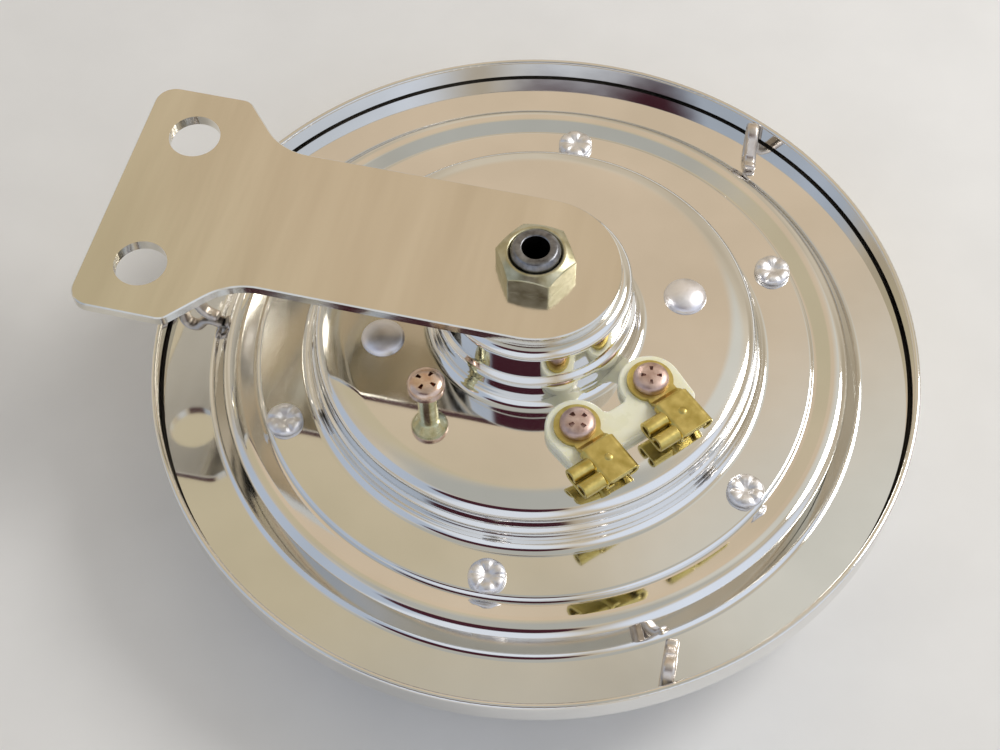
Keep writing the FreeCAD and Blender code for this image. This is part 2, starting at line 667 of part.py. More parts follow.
def carrier_plate():
    """Inner ring that carries the contact stack under the drum top."""
    body = ring(CARRIER_OUT_R, CARRIER_IN_R, CARRIER_Z, CARRIER_Z + CARRIER_T)
    span = (CARRIER_Z - 1, CARRIER_Z + CARRIER_T + 1)
    cuts = repeat(cylinder(DOME_SHANK_R, *span, Vector(DOME_CIRCLE_R, 0, 0)), 2, DOME_ANGLE)
    cuts.append(cylinder(ADJ_SHANK_R + ADJ_CLEAR, *span, polar(SCREW_CIRCLE_R, SCREW_ANGLE)))
    cuts.append(cylinder(STACK_RIVET_R, *span, polar(STACK_R, SCREW_ANGLE)))
    cuts += [cylinder(BUSH_R, *span, at) for at in terminal_points()]
    return body.cut(Part.makeCompound(cuts))


def arm_blank(tip, z0, thick, eye):
    """Contact arm along the local first axis, holed for the stack neck."""
    w = ARM_W / 2
    body = plate_of([(tip, -w * 0.7, 1.5), (tip + 6, -w, 4), (CARRIER_OUT_R, -w, 1.0),
                     (CARRIER_OUT_R, w, 1.0), (tip + 6, w, 4), (tip, w * 0.7, 1.5)], z0, thick)
    cuts = [cylinder(NECK_TUBE_R + STACK_CLEAR, z0 - 1, z0 + 2, Vector(STACK_R, 0, 0))]
    if eye:
        cuts.append(cylinder(eye, z0 - 1, z0 + 2, Vector(SCREW_CIRCLE_R, 0, 0)))
    return spin(body.cut(Part.makeCompound(cuts)), SCREW_ANGLE)


def contact_arms():
    moving = arm_blank(MOVING_TIP_R, MOVING_LOW_Z, MOVING_T, SCREW_EYE_R)
    fixed = arm_blank(FIXED_TIP_R, FIXED_LOW_Z, FIXED_T, 0)
    return moving, fixed


def contact_points():
    """One silver point on each arm, meeting half way."""
    low, high = FIXED_LOW_Z + FIXED_T, MOVING_LOW_Z
    mid = (low + high) / 2
    at = polar(POINT_X, SCREW_ANGLE)
    return cylinder(POINT_R, mid, high, at), cylinder(POINT_R, low, mid, at)


def stack_insulators():
    """Pressed board blocks; the first has a neck that keeps the rivet off both arms."""
    def block(z0, z1, hole):
        w, l = STACK_W / 2, STACK_L / 2
        body = plate_of([(STACK_R - l, -w, 0.8), (STACK_R + l, -w, 0.8), (STACK_R + l, w, 0.8),
                         (STACK_R - l, w, 0.8)], z0, z1 - z0)
        return body.cut(cylinder(hole, z0 - 1, z1 + 1, Vector(STACK_R, 0, 0)))
    at = Vector(STACK_R, 0, 0)
    bore = STACK_RIVET_R + STACK_CLEAR / 2
    neck = ring(NECK_TUBE_R, bore, FIXED_LOW_Z, MOVING_LOW_Z + MOVING_T, at)
    upper = block(MOVING_LOW_Z + MOVING_T, CARRIER_Z, bore).fuse(neck)
    middle = block(FIXED_LOW_Z + FIXED_T, MOVING_LOW_Z, NECK_TUBE_R + STACK_CLEAR)
    lower = block(FIXED_LOW_Z - WASHER_T, FIXED_LOW_Z, bore)
    return spin(gather([upper, middle, lower]), SCREW_ANGLE)


def stack_rivet():
    low = FIXED_LOW_Z - WASHER_T
    body = turned([(0, low - 1.0, 0), (STACK_HEAD_R, low - 1.0, 0.4), (STACK_HEAD_R, low, 0),
                   (STACK_RIVET_R, low, 0),
                   (STACK_RIVET_R, CARRIER_Z + CARRIER_T, 0), (0, CARRIER_Z + CARRIER_T, 0)])
    body.translate(polar(STACK_R, SCREW_ANGLE))
    return body


def pan_head(radius, z0, height):
    return turned([(0, z0, 0), (radius, z0, 0.25), (radius - 0.15, z0 + height, height * 0.45),
                   (0, z0 + height + 0.12, 0)])


def cross_recess(z_top, turn):
    l, w = CROSS_HALF_L, CROSS_W / 2
    arm = plate_of([(-l, -w, 0.2), (l, -w, 0.2), (l, w, 0.2), (-l, w, 0.2)],
                   z_top - CROSS_DEPTH, CROSS_DEPTH + 1)
    return spin(arm.fuse(spin(arm, 90)), turn)


def adjusting_screw():
    """Pan head screw with turned grooves where its thread stands in the open."""
    tip = FIXED_LOW_Z + FIXED_T
    top = ADJ_HEAD_LOW_Z + ADJ_HEAD_H
    corners = [(0, tip, 0), (ADJ_SHANK_R - 0.5, tip, 0), (ADJ_SHANK_R, tip + 0.6, 0)]
    z = DRUM_TOP_Z + 0.5
    while z + ADJ_PITCH < ADJ_HEAD_LOW_Z:
        corners += [(ADJ_SHANK_R, z, 0), (ADJ_SHANK_R - ADJ_GROOVE, z + ADJ_PITCH / 2, 0)]
        z += ADJ_PITCH
    corners += [(ADJ_SHANK_R, z, 0), (ADJ_SHANK_R, ADJ_HEAD_LOW_Z + 0.3, 0), (0, ADJ_HEAD_LOW_Z + 0.3, 0)]
    body = turned(corners).fuse(pan_head(ADJ_HEAD_R, ADJ_HEAD_LOW_Z, ADJ_HEAD_H))
    body = body.cut(cross_recess(top, ADJ_CROSS_ANGLE))
    body.translate(polar(SCREW_CIRCLE_R, SCREW_ANGLE))
    return body


def terminal_insulator():
    """Moulded base plate: two ears, an open notch between them and a square tail."""
    half = PAIR_HALF_V + EAR_R
    tail = plate_of([(PAIR_U, -half, 0), (TAIL_U, -half + 0.6, 2.0), (TAIL_U, half - 0.6, 2.0),
                     (PAIR_U, half, 0)], DRUM_TOP_Z, PLATE_INS_T)
    body = tail
    for side in (-1, 1):
        body = body.fuse(cylinder(EAR_R, DRUM_TOP_Z, INS_TOP_Z, Vector(PAIR_U, side * PAIR_HALF_V, 0)))
    gap, inner = NOTCH_HALF_W, PAIR_U - EAR_R - 1
    notch = plate_of([(inner, -gap, 0), (NOTCH_U, -gap, 1.2), (NOTCH_U, gap, 1.2), (inner, gap, 0)],
                     DRUM_TOP_Z - 1, PLATE_INS_T + 2)
    body = body.cut(notch).removeSplitter()
    flat = [e for e in body.Edges if e.BoundBox.ZLength < 1e-6]
    body = body.makeChamfer(0.3, [e for e in flat if abs(e.BoundBox.ZMax - INS_TOP_Z) < 1e-6])
    for side in (-1, 1):
        body = body.cut(cylinder(TERM_SHANK_R + 0.2, DRUM_TOP_Z - 1, INS_TOP_Z + 1,
                                 Vector(PAIR_U, side * PAIR_HALF_V, 0)))
    return spin(body, PAIR_ANGLE)


def terminal_tab(side):
    """Ring under the screw, a step up and a blade for the connector."""
    z = INS_TOP_Z + TAB_T / 2
    path = [(PAIR_U, z, 0), (TAB_STEP_U, z, 0.6), (TAB_FLAT_U, z + TAB_RISE, 0.6),
            (TAB_END_U, z + TAB_RISE, 0)]
    strip = Part.Face(corner_wire(band_corners(path, TAB_T), in_section)).extrude(Vector(0, TAB_W, 0))
    strip.translate(Vector(0, -TAB_W / 2, 0))
    nose = plate_of([(PAIR_U - 1, -TAB_W / 2, 0), (TAB_END_U, -TAB_W / 2, 1.2), (TAB_END_U, TAB_W / 2, 1.2),
                     (PAIR_U - 1, TAB_W / 2, 0)], INS_TOP_Z - 1, 8)
    body = strip.common(nose).fuse(cylinder(TAB_RING_R, INS_TOP_Z, INS_TOP_Z + TAB_T, Vector(PAIR_U, 0, 0)))
    body = body.cut(cylinder(TERM_SHANK_R + 0.15, INS_TOP_Z - 1, INS_TOP_Z + 9, Vector(PAIR_U, 0, 0)))
    body.translate(Vector(0, side * PAIR_HALF_V, 0))
    return spin(body.removeSplitter(), PAIR_ANGLE)


def push_connector(side):
    """Flag receptacle: curled channel on the blade, dimple, lance and an open wire barrel."""
    w, t = CON_W / 2, CON_T
    top = BLADE_TOP_Z + CON_GAP
    low = BLADE_LOW_Z - CON_GAP - 2 * t
    roof = top + t / 2
    lip = w - CON_LIP_W
    path = [(-lip, low + t / 2, 0), (-w + t / 2, low + t / 2, 0.85), (-w + t / 2, roof, 0.5),
            (w - t / 2, roof, 0.5), (w - t / 2, low + t / 2, 0.85), (lip, low + t / 2, 0)]
    wire = corner_wire(band_corners(path, t), lambda p: Vector(CON_U0, p.x, p.y))
    body = Part.Face(wire).extrude(Vector(CON_U1 - CON_U0, 0, 0))
    mid = (CON_U0 + CON_U1) / 2 - 1.0
    dimple = Part.makeSphere(DIMPLE_R, Vector(mid, 0, roof))
    body = body.fuse(dimple.common(Part.makeBox(4, 4, 1, Vector(mid - 2, -2, roof))))
    for v0 in (-1.1, 1.0):
        slit = Part.makeBox(3.0, 0.12, 2, Vector(mid + 1.6, v0, top - 0.2))
        body = body.cut(slit)
    body = body.cut(Part.makeBox(0.14, 2.22, 2, Vector(mid + 1.6, -1.1, top - 0.2)))
    body = body.fuse(wire_barrel(low, w)).removeSplitter()
    body.translate(Vector(0, side * PAIR_HALF_V, 0))
    return spin(body, PAIR_ANGLE)


def wire_barrel(low, w):
    """Open crimp barrel on the connector's flank, its two wings curling towards each other."""
    t = CON_T
    mid = (BARREL_U0 + BARREL_U1) / 2
    half = (BARREL_U1 - BARREL_U0) / 2 - t / 2
    z0, z1 = low + t / 2 + 0.3, low + t / 2 + BARREL_H
    path = [(mid - 0.75, z1 - 0.9, 0), (mid - 1.0, z1, 0.45), (mid - half, z1, 1.1), (mid - half, z0, 1.1),
            (mid + half, z0, 1.1), (mid + half, z1, 1.1), (mid + 1.0, z1, 0.45), (mid + 0.75, z1 - 0.9, 0)]
    wire = corner_wire(band_corners(path, t), lambda p: Vector(p.x, -w - BARREL_V, p.y))
    barrel = Part.Face(wire).extrude(Vector(0, BARREL_V, 0))
    web = Part.makeBox(2 * half - 2.4, 1.6, t, Vector(mid - half + 1.2, -w - 0.8, z0 - t / 2))
    return barrel.fuse(web)


def terminal_screw():
    z0 = INS_TOP_Z + TAB_T
    shank = cylinder(TERM_SHANK_R, TERM_END_Z, z0 + 0.3)
    body = shank.fuse(pan_head(TERM_HEAD_R, z0, TERM_HEAD_H))
    return body.cut(cross_recess(z0 + TERM_HEAD_H, 0))


def placed_pair(shape, turns=(0, 0)):
    out = []
    for at, turn in zip(terminal_points(), turns):
        one = spin(shape, turn)
        one.translate(at)
        out.append(one)
    return gather(out)


def terminal_bush():
    low = CARRIER_Z - BUSH_FLANGE_T
    return turned([(BUSH_BORE_R, low, 0), (BUSH_FLANGE_R, low, 0.3), (BUSH_FLANGE_R, CARRIER_Z, 0),
                   (BUSH_R, CARRIER_Z, 0), (BUSH_R, DRUM_TOP_Z, 0), (BUSH_BORE_R, DRUM_TOP_Z, 0)])


def terminal_nut():
    return hexagon(TERM_NUT_AF, TERM_NUT_Z, TERM_NUT_H).cut(
        cylinder(TERM_SHANK_R + 0.05, TERM_NUT_Z - 1, TERM_NUT_Z + TERM_NUT_H + 1))


def lead(points):
    """Sleeved wire along straight runs joined by tangent arcs."""
    edges, at = [], points[0]
    for i in range(1, len(points) - 1):
        before, after = points[i - 1] - points[i], points[i + 1] - points[i]
        run = LEAD_BEND_SHARE * min(before.Length, after.Length)
        before.normalize()
        after.normalize()
        half = before.getAngle(after) / 2
        start, end = points[i] + before * run, points[i] + after * run
        bis = (before + after).normalize()
        rad = run * math.tan(half)
        mid = points[i] + bis * (rad / math.sin(half) - rad)
        edges += [Part.makeLine(at, start), Part.Arc(start, mid, end).toShape()]
        at = end
    edges.append(Part.makeLine(at, points[-1]))
    profile = Part.Wire(Part.makeCircle(LEAD_R, points[0], points[1] - points[0]))
    return Part.Wire(edges).makePipeShell([profile], True, False)


def leads():
    """Three inner wires: terminal to fixed arm, moving arm to coil, coil to terminal."""
    a, b = [math.degrees(math.atan2(p.y, p.x)) for p in terminal_points()]
    r = math.hypot(PAIR_U, PAIR_HALF_V)
    reach = TERM_NUT_AF / 2 + LEAD_R
    z = TERM_NUT_Z + TERM_NUT_H / 2
    low = TERM_NUT_Z + LEAD_R
    tail = polar(STACK_R - STACK_L / 2 - 2.0, SCREW_ANGLE)
    out = spin(Part.Vertex(0, 1, 0), SCREW_ANGLE).Point
    off = ARM_W / 2 + LEAD_R
    arm_z = FIXED_LOW_Z + FIXED_T / 2
    up = Vector(0, 0, arm_z)
    fixed = [polar(r + reach, a, z), polar(r + reach + 2.4, a - 9, low),
             polar(r + reach + 3.4, a - 20, low - 0.6), polar(r + reach + 2.6, a - 32, arm_z + 0.6),
             tail + out * (off + 5.0) + up, tail + out * off + up]
    arm_z = MOVING_LOW_Z + MOVING_T / 2
    coil_r = BOBBIN_FLANGE_R + LEAD_R + 0.25
    up = Vector(0, 0, arm_z)
    moving = [tail - out * off + up, tail - out * (off + 4.5) + up,
              polar(31.0, SCREW_ANGLE - 32, arm_z - 0.8), polar(25.5, SCREW_ANGLE - 46, arm_z - 0.6),
              polar(coil_r + 1.5, SCREW_ANGLE - 56, arm_z + 0.2),
              polar(coil_r, SCREW_ANGLE - 60, BOBBIN_LOW_Z + 3.5)]
    coil = [polar(coil_r, b + 56, BOBBIN_LOW_Z + 3.5), polar(coil_r + 1.5, b + 51, arm_z + 0.2),
            polar(r - 3.0, b + 36, arm_z - 0.8), polar(r + 0.6, b + 22, z - 0.4),
            polar(r, b + math.degrees(reach / r), z)]
    return lead(fixed), lead(moving), lead(coil)


def main():
    save("front_bezel", front_bezel())
    save("front_grille", front_grille())
    save("rear_plate", rear_plate())
    save("drum_housing", drum_housing())
    save("gasket_rear", flat_ring(CLAMP_R, GASKET_OPEN_R, GASKET_REAR_Z, GASKET_T))
    save("gasket_front", flat_ring(CLAMP_R, GASKET_OPEN_R, GASKET_FRONT_Z, GASKET_T))
    save("clamp_ring", flat_ring(CLAMP_R, CLAMP_OPEN_R, CLAMP_Z, CLAMP_T))
    save("diaphragm", diaphragm())
    rivet = flange_rivet()
    turned_heads = [spin(rivet, RIVET_ANGLE + 60 * k) for k in range(RIVET_COUNT)]
    save("flange_rivets", gather(turned_heads))
    save("dome_rivets", gather(repeat(dome_rivet(), 2, DOME_ANGLE)))
    save("retaining_clips", gather([spin(retaining_clip(), a) for a in CLIP_ANGLES]))
    save("mounting_bracket", mounting_bracket())
    save("mounting_stud", mounting_stud())
    save("stud_nut", stud_nut())
    save("pole_core", pole_core())
    save("coil_bobbin", coil_bobbin())
    save("coil_winding", coil_winding())
    save("armature", armature())
    save("armature_pusher", ring(PUSHER_OUT_R, PUSHER_IN_R, ARM_FACE_Z, MOVING_LOW_Z))
    save("spacer_sleeve", spacer_sleeve())
    save("tone_disc", tone_disc())
    save("armature_nut", armature_nut())
    save("carrier_plate", carrier_plate())
    moving, fixed = contact_arms()
    save("moving_contact_arm", moving)
    save("fixed_contact_arm", fixed)
    upper, lower = contact_points()
    save("moving_contact_point", upper)
    save("fixed_contact_point", lower)
    save("stack_insulators", stack_insulators())
    save("stack_rivet", stack_rivet())
    save("adjusting_screw", adjusting_screw())
    save("terminal_insulator", terminal_insulator())
    for name, side in (("a", -1), ("b", 1)):
        save("terminal_tab_" + name, terminal_tab(side))
        save("push_connector_" + name, push_connector(side))
    save("terminal_screws", placed_pair(terminal_screw(), TERM_CROSS_ANGLES))
    save("terminal_bushes", placed_pair(terminal_bush()))
    save("terminal_nuts", placed_pair(terminal_nut(), (PAIR_ANGLE, PAIR_ANGLE)))
    for name, wire in zip(("lead_fixed_arm", "lead_moving_arm", "lead_coil"), leads()):
        save(name, wire)


main()
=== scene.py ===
import json
import math

import bmesh
import bpy
from mathutils import Matrix, Vector


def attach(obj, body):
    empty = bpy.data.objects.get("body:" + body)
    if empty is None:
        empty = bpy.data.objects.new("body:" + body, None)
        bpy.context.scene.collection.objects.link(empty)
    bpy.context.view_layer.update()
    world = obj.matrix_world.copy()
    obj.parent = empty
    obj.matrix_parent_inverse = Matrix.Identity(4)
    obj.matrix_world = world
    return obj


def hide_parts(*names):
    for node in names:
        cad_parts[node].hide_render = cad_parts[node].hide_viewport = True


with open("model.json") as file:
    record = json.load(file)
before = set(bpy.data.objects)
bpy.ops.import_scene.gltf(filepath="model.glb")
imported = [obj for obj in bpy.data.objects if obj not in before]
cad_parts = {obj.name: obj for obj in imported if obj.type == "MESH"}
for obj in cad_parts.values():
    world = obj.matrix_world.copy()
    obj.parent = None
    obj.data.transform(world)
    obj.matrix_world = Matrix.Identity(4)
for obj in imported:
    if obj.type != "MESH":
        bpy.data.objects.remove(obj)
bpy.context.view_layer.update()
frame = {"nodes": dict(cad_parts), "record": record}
nodes = frame["nodes"]

# The pieces are laid out in millimetres about the horn's own axis, front rest plane at z 0, as the
# drawing has them, and the row frame's origin is midway between the bracket's holes.
MM = 0.001
AXIS_X = 75.7
REST_Z = -54.0
AXIS = (0, 0)
RIM_TOP = 26.0
RIM_R = 80.0
BRACKET_TOP = 54.0

BEZEL_SHEET = 1.3
SHEET = 1.2
CLIP_STOCK = 1.8
SLEEVE_STOCK = 0.6
BARREL_STOCK = 0.7

# The two terminals stand side by side: turn about the axis, distance from it, half their pitch.
TERMINAL_TURN = -42
TERMINAL_OUT = 26.9
TERMINAL_HALF_PITCH = 8.9

ROUND = 256          # corners of a large ring
NEAR = 0.01          # a vertex this near to a ring lies on it
RING_FACET = 11      # degrees of bend for each face, in a ring and in a strip
STRIP_FACET = 12


def place(x, y, z):
    """Row frame place, in metres, of a point given about the horn's axis in millimetres."""
    return Vector((x + AXIS_X, y, z + REST_Z)) * MM


def on_circle(radius, degrees):
    """Point on a circle about the horn's axis."""
    return (radius * math.cos(math.radians(degrees)), radius * math.sin(math.radians(degrees)))


def axis_reading(at=AXIS):
    """Reader of (radius, z) in mm about an upright axis through at."""
    def read(co):
        x, y = co.x / MM - AXIS_X - at[0], co.y / MM - at[1]
        return math.hypot(x, y), co.z / MM - REST_Z
    return read


def bearing(co, at=AXIS):
    """Direction of a vertex, in degrees, seen from the upright axis through at."""
    return math.degrees(math.atan2(co.y / MM - at[1], co.x / MM - AXIS_X - at[0]))


def empty_hands():
    """Leave edit mode and let go of everything."""
    if bpy.context.object and bpy.context.object.mode != "OBJECT":
        bpy.ops.object.mode_set(mode="OBJECT")
    bpy.ops.object.select_all(action="DESELECT")


def take(piece):
    """Take one piece in hand."""
    empty_hands()
    piece.select_set(True)
    bpy.context.view_layer.objects.active = piece


def open_new(name):
    """Name the shape just added, settle it about the frame's origin and open it for editing."""
    piece = bpy.context.object
    piece.name = piece.data.name = name
    bpy.ops.object.transform_apply(location=True, rotation=False, scale=False)
    bpy.ops.object.mode_set(mode="EDIT")
    return piece


def pick(piece, kind, test):
    """Select what passes the test: vertices, edges by both of their ends, faces by their middle."""
    bpy.ops.mesh.select_mode(type=kind)
    bpy.ops.mesh.select_all(action="DESELECT")
    mesh = bmesh.from_edit_mesh(piece.data)
    if kind == "VERT":
        for vert in mesh.verts:
            vert.select_set(test(vert.co))
    elif kind == "EDGE":
        for edge in mesh.edges:
            edge.select_set(all(test(vert.co) for vert in edge.verts))
    else:
        for face in mesh.faces:
            face.select_set(test(face.calc_center_median()))
    bmesh.update_edit_mesh(piece.data)


def pick_ring(piece, at, r, z):
    """Select the ring of edges at (r, z) about the upright axis through at."""
    read = axis_reading(at)
    pick(piece, "EDGE", lambda co: abs(read(co)[0] - r) < NEAR and abs(read(co)[1] - z) < NEAR)


def pull(up, along=0):
    """Extrude what is selected, in mm."""
    bpy.ops.mesh.extrude_region_move(TRANSFORM_OT_translate={"value": (along * MM, 0, up * MM)})


def widen(factor, at, z):
    """Scale what is selected sideways from the point at, z."""
    bpy.ops.transform.resize(value=(factor, factor, 1), center_override=place(*at, z))


def lift(up):
    """Move what is selected upwards, in mm."""
    bpy.ops.transform.translate(value=(0, 0, up * MM))


def round_bend(before, corner, after, facet):
    """Round the selected edges to the corner's bend radius, with a face for every facet degrees."""
    slopes = [math.atan2(b[1] - a[1], b[0] - a[0]) for a, b in ((before, corner), (corner, after))]
    turn = abs(math.remainder(slopes[1] - slopes[0], math.tau))
    bpy.ops.mesh.bevel(offset=corner[2] * math.tan(turn / 2) * MM, affect="EDGES",
                       segments=max(3, round(math.degrees(turn) / facet)), clamp_overlap=False)


def spin_rings(name, rings, at=AXIS, count=ROUND):
    """Draw a ring, pull it through each (radius, z, bend radius) and round the bends."""
    empty_hands()
    r, z = rings[0][:2]
    bpy.ops.mesh.primitive_circle_add(vertices=count, radius=r * MM, location=place(*at, z))
    piece = open_new(name)
    bpy.ops.mesh.select_mode(type="EDGE")
    bpy.ops.mesh.select_all(action="SELECT")
    for (r0, z0, _), (r1, z1, _) in zip(rings, rings[1:]):
        pull(z1 - z0)
        widen(r1 / r0, at, z1)
    for before, ring, after in zip(rings, rings[1:], rings[2:]):
        if ring[2]:
            pick_ring(piece, at, *ring[:2])
            round_bend(before, ring, after, RING_FACET)
    return piece


def pull_strip(name, path, y0, y1):
    """Pull an edge that runs from y0 to y1 along a path of (x, z, bend radius), round its bends."""
    empty_hands()
    (x, z, _), wide = path[0], y1 - y0
    bpy.ops.mesh.primitive_plane_add(size=wide * MM,
                                     location=place(x + wide / 2, (y0 + y1) / 2, z))
    piece = open_new(name)
    start = place(x, 0, z)
    pick(piece, "EDGE", lambda co: co.x - start.x > wide * MM / 2)
    bpy.ops.mesh.delete(type="VERT")
    bpy.ops.mesh.select_all(action="SELECT")
    for (x0, z0, _), (x1, z1, _) in zip(path, path[1:]):
        pull(z1 - z0, x1 - x0)
    for before, corner, after in zip(path, path[1:], path[2:]):
        if corner[2]:
            spot = place(corner[0], 0, corner[1])
            pick(piece, "EDGE", lambda co: abs(co.x - spot.x) < NEAR * MM
                 and abs(co.z - spot.z) < NEAR * MM)
            round_bend(before, corner, after, STRIP_FACET)
    return piece


def close_end(piece, at, r, z):
    """Fill the ring at (r, z) with a fan of faces."""
    pick_ring(piece, at, r, z)
    bpy.ops.mesh.edge_face_add()
    bpy.ops.mesh.poke()


def face_out():
    """Join doubled vertices and turn every face outwards."""
    bpy.ops.mesh.select_all(action="SELECT")
    bpy.ops.mesh.remove_doubles(threshold=1e-7)
    bpy.ops.mesh.normals_make_consistent(inside=False)


def modify(piece, kind, **settings):
    """Add a modifier with its settings and apply it."""
    take(piece)
    bpy.ops.object.modifier_add(type=kind)
    modifier = piece.modifiers[-1]
    for key, value in settings.items():
        setattr(modifier, key, value)
    bpy.ops.object.modifier_apply(modifier=modifier.name)


def give_wall(piece, thick):
    """Thicken the surface to sheet, half to each side."""
    face_out()
    modify(piece, "SOLIDIFY", thickness=thick * MM, offset=0, use_even_offset=True,
           use_quality_normals=True)


def soften(piece, width, segments, angle):
    """Round every edge that is sharper than angle degrees."""
    modify(piece, "BEVEL", width=width * MM, segments=segments, limit_method="ANGLE",
           angle_limit=math.radians(angle))


def round_lips(piece, width, segments, test):
    """Round the cut edges of a sheet, picked by a test on (radius, z)."""
    bpy.ops.object.mode_set(mode="EDIT")
    read = axis_reading()
    pick(piece, "EDGE", lambda co: test(*read(co)))
    bpy.ops.mesh.bevel(offset=width * MM, segments=segments, affect="EDGES", clamp_overlap=False)


def polish(piece, angle=38):
    """Smooth shading that keeps flats flat beside their bends."""
    take(piece)
    bpy.ops.object.shade_smooth_by_angle(angle=math.radians(angle))
    modify(piece, "WEIGHTED_NORMAL", mode="FACE_AREA", keep_sharp=True)


def finish_piece(piece, finish, slot, body, *stands_for):
    """Give the piece its finish, its body and the nodes that it stands for; the slot argument is not
    used.
    """
    empty_hands()
    piece.data.materials.clear()
    piece.data.materials.append(finish)
    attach(piece, body)
    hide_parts(*stands_for)


def second_finish(piece, finish, test, at=AXIS):
    """Give a finish of their own to the faces whose middle passes a test on (radius, z) about at."""
    piece.data.materials.append(finish)
    read = axis_reading(at)
    for face in piece.data.polygons:
        if test(*read(face.center)):
            face.material_index = 1


def twin(piece, number):
    """One more of a finished piece, with a mesh of its own."""
    more = piece.copy()
    more.data = piece.data.copy()
    more.name = more.data.name = "%s_%d" % (piece.name, number)
    bpy.context.scene.collection.objects.link(more)
    return more


def turn_mesh(piece, degrees, at=AXIS):
    """Turn a finished mesh about the upright axis through at."""
    hinge = place(*at, 0)
    piece.data.transform(Matrix.Translation(hinge) @ Matrix.Rotation(math.radians(degrees), 4, "Z")
                         @ Matrix.Translation(-hinge))


def turn_in_hand(piece, degrees):
    """Turn a piece that is still being made about the horn's axis."""
    take(piece)
    bpy.ops.object.mode_set(mode="EDIT")
    bpy.ops.mesh.select_all(action="SELECT")
    bpy.ops.transform.rotate(value=-math.radians(degrees), orient_axis="Z",
                             center_override=place(*AXIS, 0))
    bpy.ops.object.mode_set(mode="OBJECT")


def linear(hex_colour):
    """sRGB hex to linear RGBA."""
    out = []
    for i in (1, 3, 5):
        c = int(hex_colour[i:i + 2], 16) / 255
        out.append(c / 12.92 if c <= 0.04045 else ((c + 0.055) / 1.055) ** 2.4)
    return (*out, 1.0)


def add_node(tree, kind, links=(), **settings):
    """One node: settings by property or socket name, links as (input, node, output)."""
    node = tree.nodes.new(kind)
    for key, value in settings.items():
        if hasattr(node, key):
            setattr(node, key, value)
        else:
            node.inputs[key.replace("_", " ")].default_value = value
    for socket, source, output in links:
        tree.links.new(source.outputs[output], node.inputs[socket])
    return node


# A noise seldom leaves this range.
NOISE_SPAN = (0.3, 0.7)


def colour_drift(tree, source, colours, span=NOISE_SPAN):
    """From one colour to the other as the first output of source crosses the span."""
    node = add_node(tree, "ShaderNodeValToRGB", [(0, source, 0)])
    for end, at, colour in zip(node.color_ramp.elements, span, colours):
        end.position = at
        end.color = linear(colour)
    return node


def bare_material(name, metallic=0.0):
    """Material with its shader, output and Object coordinates."""
    material = bpy.data.materials.new(name)
    material.use_nodes = True
    tree = material.node_tree
    tree.nodes.clear()
    shader = add_node(tree, "ShaderNodeBsdfPrincipled", Metallic=metallic)
    add_node(tree, "ShaderNodeOutputMaterial", [(0, shader, 0)])
    return material, tree, shader, add_node(tree, "ShaderNodeTexCoord")


def surface(name, colours, rough, patch_mm, grain_mm, grain, metallic=1.0, stretch=(1, 1, 1)):
    """Finish whose colour and gloss drift over patches, with a fine grain raised on it."""
    material, tree, shader, where = bare_material(name, metallic)
    laid = add_node(tree, "ShaderNodeMapping", [(0, where, "Object")], Scale=stretch)
    patches = add_node(tree, "ShaderNodeTexNoise", [(0, laid, 0)], Scale=1 / (patch_mm * MM),
                       Detail=3.0)
    tint = colour_drift(tree, patches, colours)
    gloss = add_node(tree, "ShaderNodeMapRange", [(0, patches, 0)], From_Min=NOISE_SPAN[0],
                     From_Max=NOISE_SPAN[1], To_Min=rough[0], To_Max=rough[1])
    fine = add_node(tree, "ShaderNodeTexNoise", [(0, laid, 0)], Scale=1 / (grain_mm * MM),
                    Detail=2.0)
    raised = add_node(tree, "ShaderNodeBump", [("Height", fine, 0)], Strength=grain,
                      Distance=0.1 * MM)
    for socket, source in (("Base Color", tint), ("Roughness", gloss), ("Normal", raised)):
        tree.links.new(source.outputs[0], shader.inputs[socket])
    return material


def let_light_in(material, depth_mm):
    """Let light go a little way into a moulding, red and green further than blue."""
    shader = next(n for n in material.node_tree.nodes if n.bl_idname == "ShaderNodeBsdfPrincipled")
    shader.inputs["Subsurface Weight"].default_value = 0.35
    shader.inputs["Subsurface Radius"].default_value = (1.0, 0.95, 0.6)
    shader.inputs["Subsurface Scale"].default_value = depth_mm * MM
    shader.inputs["IOR"].default_value = 1.53


def two_tone(name, low, high, split_z):
    """Screw finish with the colours low below split_z and high above it."""
    material, tree, shader, where = bare_material(name, 1.0)
    patches = add_node(tree, "ShaderNodeTexNoise", [(0, where, "Object")], Scale=1 / (2.0 * MM),
                       Detail=3.0)
    height = add_node(tree, "ShaderNodeSeparateXYZ", [(0, where, "Object")])
    above = add_node(tree, "ShaderNodeMath", [(0, height, 2)], operation="GREATER_THAN")
    above.inputs[1].default_value = (split_z + REST_Z) * MM
    tints = [colour_drift(tree, patches, colours) for colours in (low, high)]
    tint = add_node(tree, "ShaderNodeMix", data_type="RGBA")
    for socket, source in ((0, above), (6, tints[0]), (7, tints[1])):
        tree.links.new(source.outputs[0], tint.inputs[socket])
    tree.links.new(tint.outputs[2], shader.inputs["Base Color"])
    gloss = add_node(tree, "ShaderNodeMapRange", [(0, patches, 0)], To_Min=0.16, To_Max=0.34)
    tree.links.new(gloss.outputs[0], shader.inputs["Roughness"])
    return material


# Decorative chrome over nickel, buffed before plating: a mirror, slowly wavy like drawn sheet.
CHROME = surface("decorative chrome plate", ("#E6E5E2", "#F1F0EE"), (0.04, 0.08), 24, 11, 0.22)
# Strip cut across its rolling direction and plated bright: soft mirror, faint streaks across it.
STRIP = surface("plated rolled strip", ("#DDD8CC", "#EBE7DD"), (0.11, 0.17), 9, 1.1, 0.16,
                stretch=(1, 0.12, 1))
